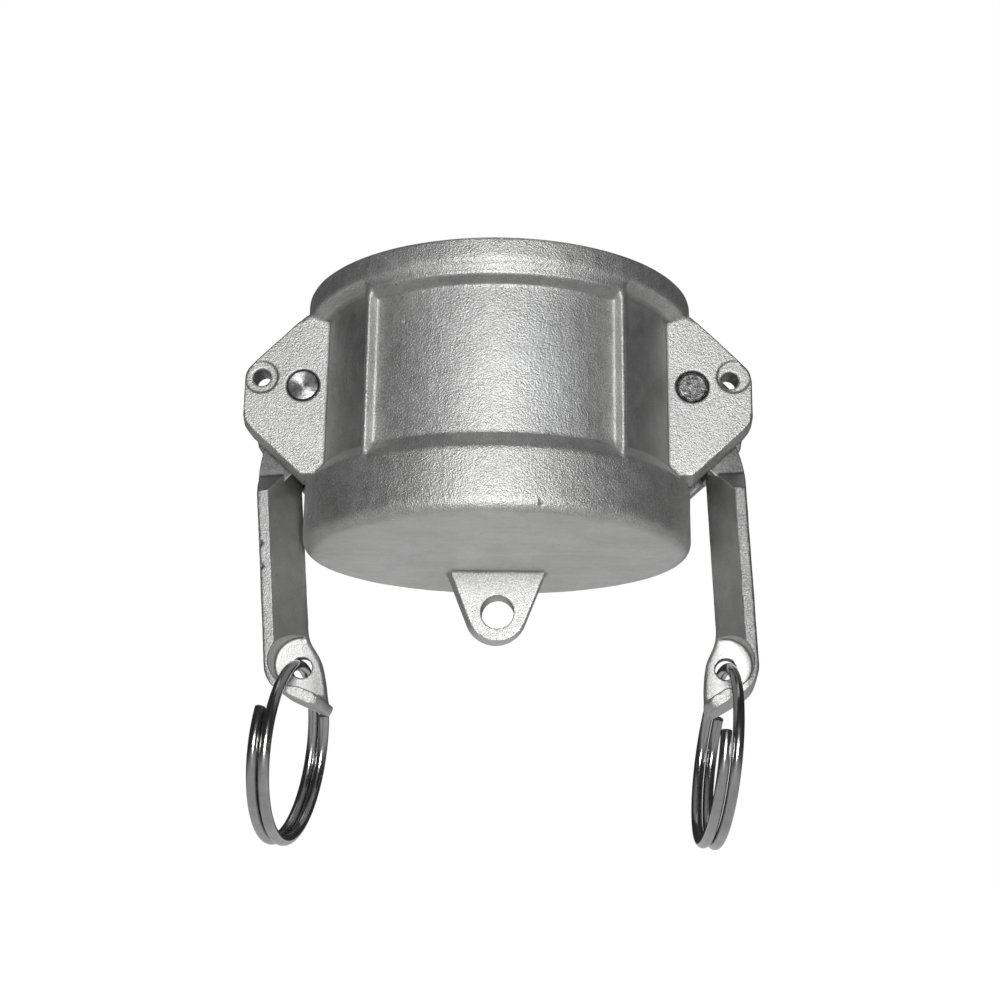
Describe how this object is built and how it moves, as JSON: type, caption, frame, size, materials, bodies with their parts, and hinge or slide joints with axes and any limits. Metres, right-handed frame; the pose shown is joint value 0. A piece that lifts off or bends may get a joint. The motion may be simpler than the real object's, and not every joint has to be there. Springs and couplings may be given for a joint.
{
  "type": "camlock dust cap",
  "caption": "Cam and groove dust cap: a closed cup with a flat gasket, two hinged cam arms with pull rings, and a chain lug on the closed face.",
  "frame": {"origin": "centre of the mouth, on the plane of the rim", "axes": "+Z along the socket axis out of the mouth; +Y towards the side of the chain lug; the two arms on -X (left) and +X (right)"},
  "size_m": [0.1038, 0.0794, 0.1091],
  "materials": {
    "cast_body": "as cast and shot blasted, fine sparkling grain",
    "gasket": "matt black moulded",
    "cam_arm": "as cast, smooth inner faces and grainy edges",
    "hinge_pin": "turned, one end peened",
    "pull_ring": "bright plated wire"
  },
  "bodies": {
    "shell": {"body": "cast_body", "gasket": "gasket", "left_hinge_pin": "hinge_pin", "right_hinge_pin": "hinge_pin"},
    "left_arm": {"left_cam_arm": "cam_arm"},
    "right_arm": {"right_cam_arm": "cam_arm"},
    "left_ring": {"left_pull_ring": "pull_ring"},
    "right_ring": {"right_pull_ring": "pull_ring"}
  },
  "joints": [
    {"name": "left_arm_pivot", "type": "hinge", "parent": "shell", "child": "left_arm", "pos_m": [-0.0389, 0, -0.0196], "axis": [0, 1, 0], "range_deg": [0, 110]},
    {"name": "right_arm_pivot", "type": "hinge", "parent": "shell", "child": "right_arm", "pos_m": [0.0389, 0, -0.0196], "axis": [0, -1, 0], "range_deg": [-7, 103]},
    {"name": "left_ring_swing", "type": "hinge", "parent": "left_arm", "child": "left_ring", "pos_m": [-0.03866, 0, -0.07427], "axis": [0, 1, 0], "range_deg": [-80, 140]},
    {"name": "right_ring_swing", "type": "hinge", "parent": "right_arm", "child": "right_ring", "pos_m": [0.04561, 0, -0.07423], "axis": [-0.0785, -0.9969, 0], "range_deg": [-80, 140]}
  ]
}
